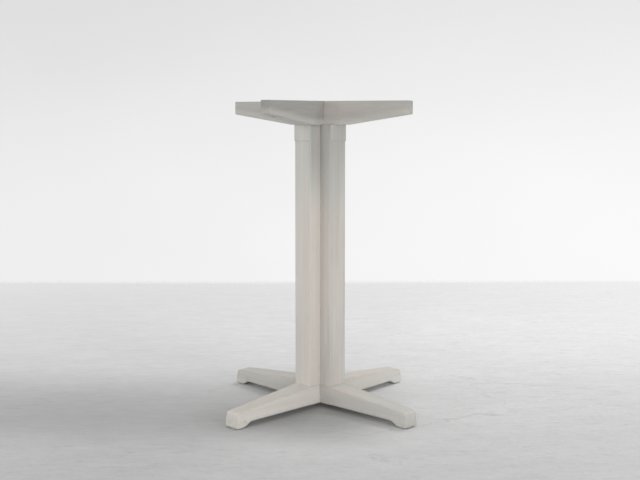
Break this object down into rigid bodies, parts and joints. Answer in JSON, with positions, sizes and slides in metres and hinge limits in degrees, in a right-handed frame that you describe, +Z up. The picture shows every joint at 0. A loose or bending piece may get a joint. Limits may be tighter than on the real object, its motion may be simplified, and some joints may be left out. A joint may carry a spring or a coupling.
{
  "type": "pedestal bar table base",
  "caption": "Whitewashed wooden pedestal base for a bar table: cross foot with shaped toes, plus-shaped post and a cross head of tapered arms for the top.",
  "frame": {"origin": "on the floor, under the post's axis", "axes": "+Z up the post; the foot beams lie on the diagonals between X and Y"},
  "size_m": [0.6096, 0.6096, 1.04],
  "materials": {
    "limed_wood": "limed and brushed, matt",
    "zinc_steel": "zinc plated",
    "nylon": "matt",
    "spline_wood": "plain"
  },
  "bodies": {
    "root": {"foot_beam_lower": "limed_wood", "foot_beam_upper": "limed_wood", "post_centre_board": "limed_wood", "post_side_board_back_left": "limed_wood", "post_side_board_front_right": "limed_wood", "head_arm_lower": "limed_wood", "head_arm_upper": "limed_wood", "foot_lag_screws": "zinc_steel", "head_lag_screws": "zinc_steel", "foot_washers": "zinc_steel", "head_washers": "zinc_steel", "foot_glide_back_right": "nylon", "foot_glide_back_left": "nylon", "foot_glide_front_left": "nylon", "foot_glide_front_right": "nylon", "post_spline_back_left": "spline_wood", "post_spline_front_right": "spline_wood"}
  },
  "joints": []
}
